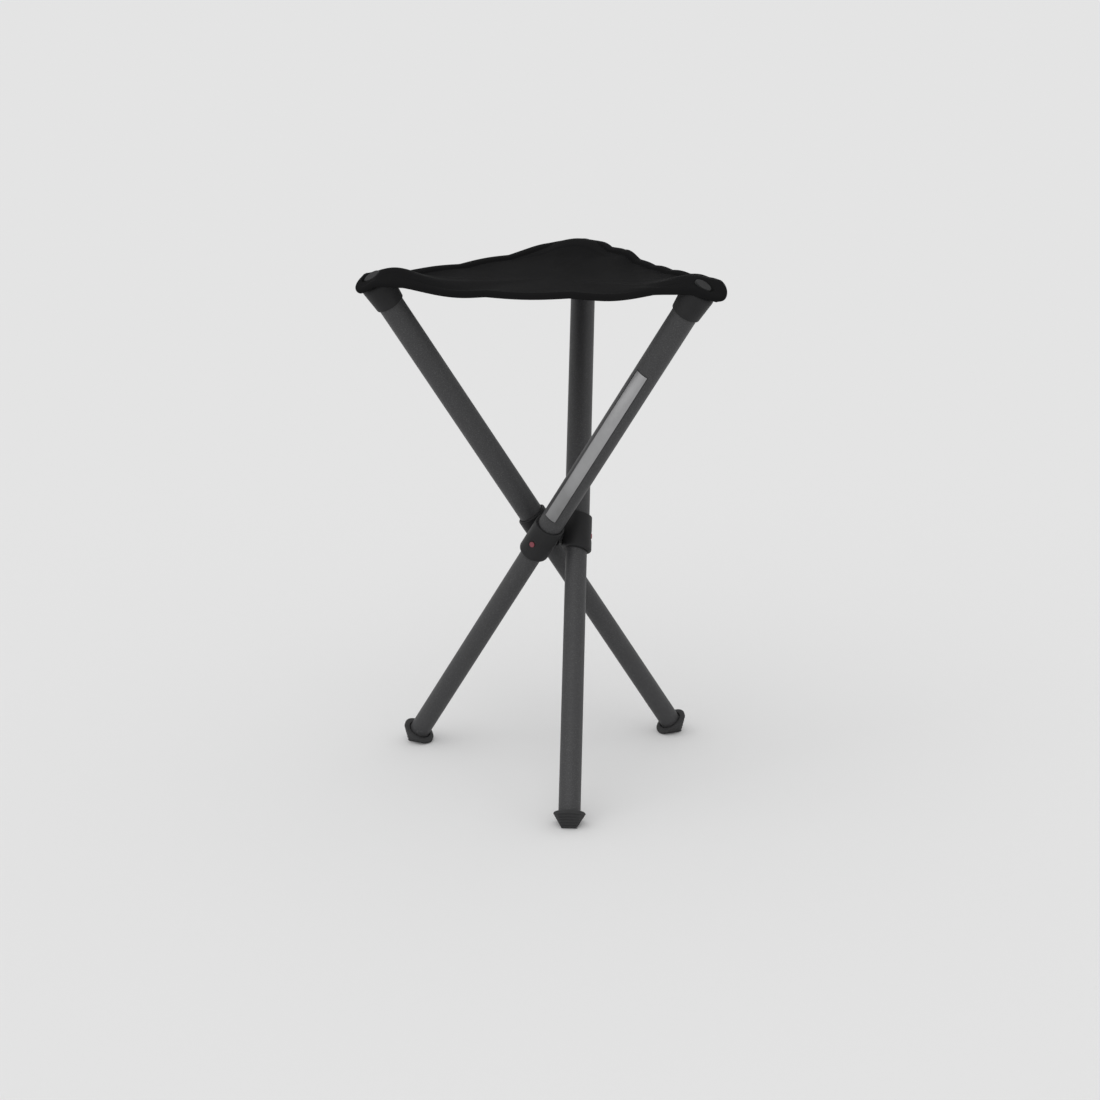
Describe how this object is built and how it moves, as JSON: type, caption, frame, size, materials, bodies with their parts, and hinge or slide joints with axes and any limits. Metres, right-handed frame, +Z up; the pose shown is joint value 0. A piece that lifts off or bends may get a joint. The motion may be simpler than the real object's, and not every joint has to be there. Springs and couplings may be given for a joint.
{
  "type": "camping stool",
  "caption": "Folding tripod camping stool with a triangular black fabric seat, crossed telescopic tube legs on a central hub, press-in lock buttons and wedge feet.",
  "frame": {"origin": "on the floor, under the middle of the hub, which is the tripod's own axis", "axes": "+Z up along the tripod's axis; +X along the pivot axis of the leg that carries the back corner; that seat corner lies towards +Y"},
  "size_m": [0.3236, 0.3452, 0.499],
  "materials": {
    "tube_paint": "dark grey paint with a fine speckle, satin",
    "sleeve_plastic": "black moulded plastic, fine grain",
    "cap_plastic": "black moulded plastic, fine grain",
    "hub_plastic": "black moulded plastic",
    "seat_fabric": "black close-woven polyester with a faint sheen",
    "rivet_grey": "dark grey moulded head, satin",
    "screw_steel": "zinc-plated steel",
    "bush_plastic": "black nylon",
    "spring_steel": "bare spring steel",
    "foot_rubber": "dark grey rubber, matt",
    "button_red": "red moulded plastic, satin"
  },
  "bodies": {
    "hub": {"hub_core": "hub_plastic", "seat_panel": "seat_fabric", "back_pivot_screw": "screw_steel", "left_pivot_screw": "screw_steel", "right_pivot_screw": "screw_steel"},
    "back_leg": {"back_upper_tube": "tube_paint", "back_pivot_sleeve": "sleeve_plastic", "back_top_cap": "cap_plastic", "back_corner_pocket": "seat_fabric", "back_corner_rivet": "rivet_grey"},
    "back_lower_leg": {"back_lower_tube": "tube_paint", "back_guide_bush": "bush_plastic", "back_snap_spring": "spring_steel", "back_foot": "foot_rubber"},
    "back_button": {"back_lock_button": "button_red"},
    "left_leg": {"left_upper_tube": "tube_paint", "left_pivot_sleeve": "sleeve_plastic", "left_top_cap": "cap_plastic", "left_corner_pocket": "seat_fabric", "left_corner_rivet": "rivet_grey"},
    "left_lower_leg": {"left_lower_tube": "tube_paint", "left_guide_bush": "bush_plastic", "left_snap_spring": "spring_steel", "left_foot": "foot_rubber"},
    "left_button": {"left_lock_button": "button_red"},
    "right_leg": {"right_upper_tube": "tube_paint", "right_pivot_sleeve": "sleeve_plastic", "right_top_cap": "cap_plastic", "right_corner_pocket": "seat_fabric", "right_corner_rivet": "rivet_grey"},
    "right_lower_leg": {"right_lower_tube": "tube_paint", "right_guide_bush": "bush_plastic", "right_snap_spring": "spring_steel", "right_foot": "foot_rubber"},
    "right_button": {"right_lock_button": "button_red"}
  },
  "joints": [
    {"name": "back_fold", "type": "hinge", "parent": "hub", "child": "back_leg", "pos_m": [0, 0, 0.2352], "axis": [1, 0, 0], "range_deg": [0, 33.45], "deforming": ["seat_panel"]},
    {"name": "back_telescope", "type": "slide", "parent": "back_leg", "child": "back_lower_leg", "axis": [0, 0.5512, 0.8344], "range_m": [0, 0.235], "deforming": ["back_snap_spring"]},
    {"name": "back_press", "type": "slide", "parent": "back_leg", "child": "back_button", "axis": [-1, 0, 0], "range_m": [0, 0.001], "stiffness_N_per_m": 1000, "springref_m": -0.003, "deforming": ["back_snap_spring"]},
    {"name": "left_fold", "type": "hinge", "parent": "hub", "child": "left_leg", "pos_m": [0, 0, 0.2352], "axis": [-0.5, 0.866, 0], "range_deg": [0, 33.45], "deforming": ["seat_panel"]},
    {"name": "left_telescope", "type": "slide", "parent": "left_leg", "child": "left_lower_leg", "axis": [-0.4774, -0.2756, 0.8344], "range_m": [0, 0.235], "deforming": ["left_snap_spring"]},
    {"name": "left_press", "type": "slide", "parent": "left_leg", "child": "left_button", "axis": [0.5, -0.866, 0], "range_m": [0, 0.001], "stiffness_N_per_m": 1000, "springref_m": -0.003, "deforming": ["left_snap_spring"]},
    {"name": "right_fold", "type": "hinge", "parent": "hub", "child": "right_leg", "pos_m": [0, 0, 0.2352], "axis": [-0.5, -0.866, 0], "range_deg": [0, 33.45], "deforming": ["seat_panel"]},
    {"name": "right_telescope", "type": "slide", "parent": "right_leg", "child": "right_lower_leg", "axis": [0.4774, -0.2756, 0.8344], "range_m": [0, 0.235], "deforming": ["right_snap_spring"]},
    {"name": "right_press", "type": "slide", "parent": "right_leg", "child": "right_button", "axis": [0.5, 0.866, 0], "range_m": [0, 0.001], "stiffness_N_per_m": 1000, "springref_m": -0.003, "deforming": ["right_snap_spring"]}
  ],
  "couplings": [
    {"joint": "left_fold", "follows": "back_fold", "ratio": 1},
    {"joint": "right_fold", "follows": "back_fold", "ratio": 1}
  ]
}
